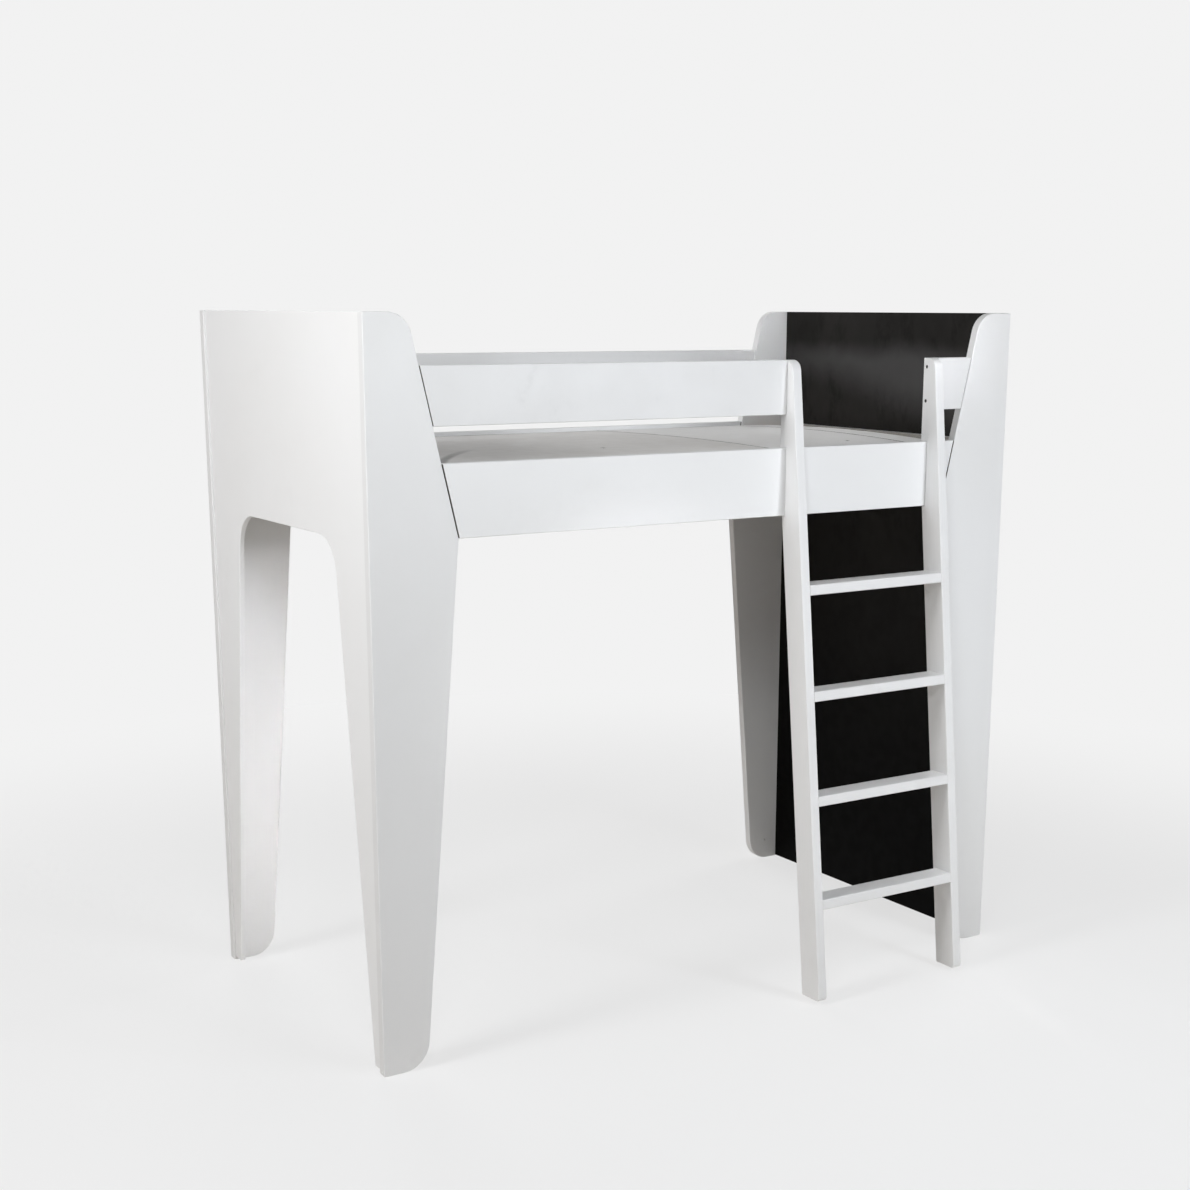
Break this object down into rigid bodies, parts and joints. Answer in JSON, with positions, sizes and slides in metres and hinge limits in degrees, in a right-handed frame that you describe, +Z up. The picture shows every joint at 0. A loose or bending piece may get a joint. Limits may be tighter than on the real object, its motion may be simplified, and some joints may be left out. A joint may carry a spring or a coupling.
{
  "type": "loft bed",
  "caption": "Child's loft bed of painted board: tapered leg panels, an arched end, a black writing panel at the other end, rails, guards, a lift-out deck and a fixed leaning ladder.",
  "frame": {"origin": "on the floor, below the middle of the box that holds the bed and its ladder", "axes": "+X along the bed towards the black end panel, +Y from the ladder side to the far side, +Z up"},
  "size_m": [1.66, 1.0251, 1.535],
  "materials": {
    "white_paint": "satin white paint on board",
    "black_panel": "matt black writing surface with faint wiped marks",
    "deck_board": "pale grey-white coated board",
    "frame_wood": "planed softwood, bare",
    "dowel_wood": "turned hardwood, bare",
    "screw_steel": "zinc plated, dull",
    "insert_brass": "turned, bare"
  },
  "bodies": {
    "root": {"left_front_leg": "white_paint", "left_rear_leg": "white_paint", "right_front_leg": "white_paint", "right_rear_leg": "white_paint", "left_end_panel": "white_paint", "front_side_rail": "white_paint", "rear_side_rail": "white_paint", "front_guard": "white_paint", "short_front_guard": "white_paint", "rear_guard": "white_paint", "left_deck_cleat": "white_paint", "right_deck_cleat": "white_paint", "ladder_left_stile": "white_paint", "ladder_right_stile": "white_paint", "ladder_rung_1": "white_paint", "ladder_rung_2": "white_paint", "ladder_rung_3": "white_paint", "ladder_rung_4": "white_paint", "right_end_panel": "black_panel", "left_deck_board": "deck_board", "middle_deck_board": "deck_board", "right_deck_slat": "deck_board", "front_deck_cleat": "frame_wood", "rear_deck_cleat": "frame_wood", "left_deck_bearer": "frame_wood", "right_deck_bearer": "frame_wood", "rail_dowels": "dowel_wood", "guard_dowels": "dowel_wood", "rung_dowels": "dowel_wood", "guard_screws": "screw_steel", "ladder_screws": "screw_steel", "long_cleat_screws": "screw_steel", "end_cleat_screws": "screw_steel", "bearer_screws": "screw_steel", "leg_bolts": "screw_steel", "leg_inserts": "insert_brass"}
  },
  "joints": []
}
